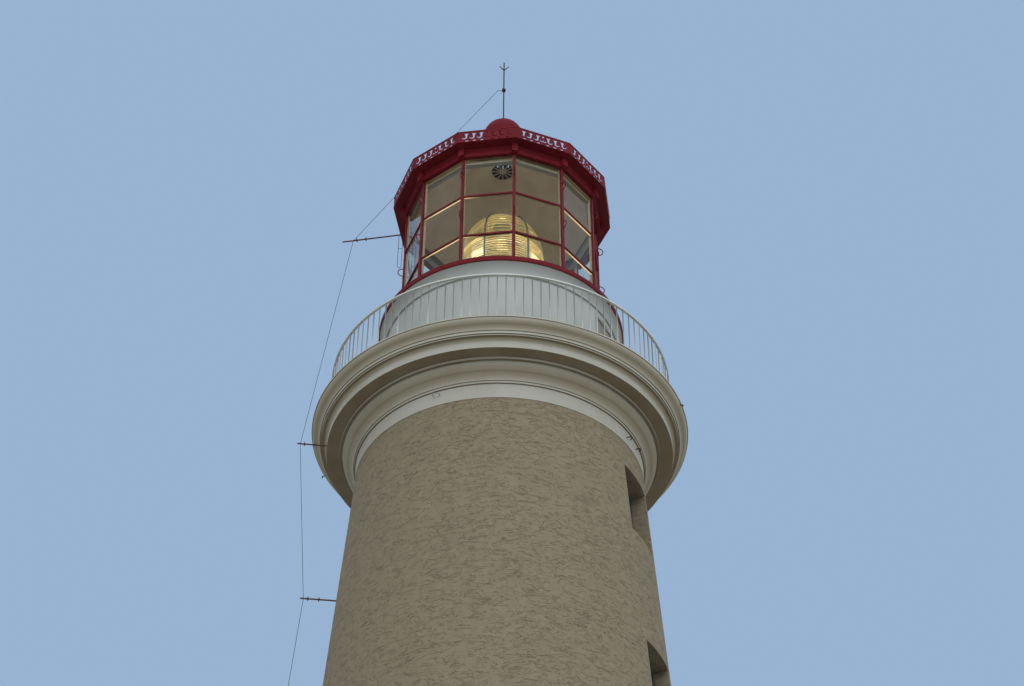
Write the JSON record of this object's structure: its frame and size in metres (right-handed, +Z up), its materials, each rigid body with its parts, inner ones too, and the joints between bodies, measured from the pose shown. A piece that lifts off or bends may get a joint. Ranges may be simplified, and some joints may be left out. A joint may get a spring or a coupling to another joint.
{
  "type": "lighthouse",
  "caption": "Round tapered lighthouse tower with a moulded cornice, railed gallery and a glazed twelve-sided lantern with its lens and ball-topped roof.",
  "frame": {"origin": "on the axis of the tower at ground level", "axes": "+Z up along the tower's axis; -Y towards the side that the picture shows, +X to its right"},
  "size_m": [7.8412, 7.39, 31.28],
  "materials": {
    "render": "rough trowelled render",
    "floor_stone": "worn paving",
    "white_plaster": "painted plaster, weathered",
    "pale_iron": "off-white paint",
    "red_iron": "dark red gloss paint",
    "dark_joinery": "dark grey paint",
    "dark_iron": "dark weathered iron",
    "insulator_ceramic": "brown glaze",
    "clear_glass": "clear",
    "lens_glass": "clear crown glass",
    "lens_brass": "dulled brass",
    "lamp_glass": "lit bulb"
  },
  "bodies": {
    "root": {"bed_moulding": "white_plaster", "ceiling": "pale_iron", "ceiling_moulding": "pale_iron", "ceiling_rosette": "dark_iron", "conductor_brackets": "red_iron", "corona": "white_plaster", "door_frame": "dark_joinery", "down_conductor": "dark_iron", "drum_cove": "pale_iron", "drum_wall": "pale_iron", "eave_soffit": "red_iron", "entrance_door": "dark_joinery", "frieze": "white_plaster", "gallery_door": "dark_joinery", "gallery_door_frame": "dark_joinery", "gallery_slab": "white_plaster", "ground_floor": "floor_stone", "gutter_fretwork": "red_iron", "handholds": "red_iron", "head_band": "red_iron", "insulators": "insulator_ceramic", "kerb": "white_plaster", "lamp": "lamp_glass", "lamp_stand": "lens_brass", "lantern_panes": "clear_glass", "lens_base": "lens_glass", "lens_belt": "lens_glass", "lens_dome": "lens_glass", "lens_frame": "lens_brass", "lens_table": "lens_brass", "lightning_rod": "dark_iron", "lower_transoms": "red_iron", "mullions": "red_iron", "pedestal": "lens_brass", "railing_1": "pale_iron", "railing_2": "pale_iron", "railing_3": "pale_iron", "railing_4": "pale_iron", "roof": "red_iron", "sill_ring": "red_iron", "tower_wall_1": "render", "tower_wall_2": "render", "tower_wall_3": "render", "tower_wall_4": "render", "tower_wall_5": "render", "tower_wall_6": "render", "upper_transoms": "red_iron", "vent_neck": "red_iron", "ventilator_ball": "red_iron", "window_bay_left": "render", "window_bay_right": "render", "window_frames": "dark_joinery", "window_panes": "clear_glass"}
  },
  "joints": []
}
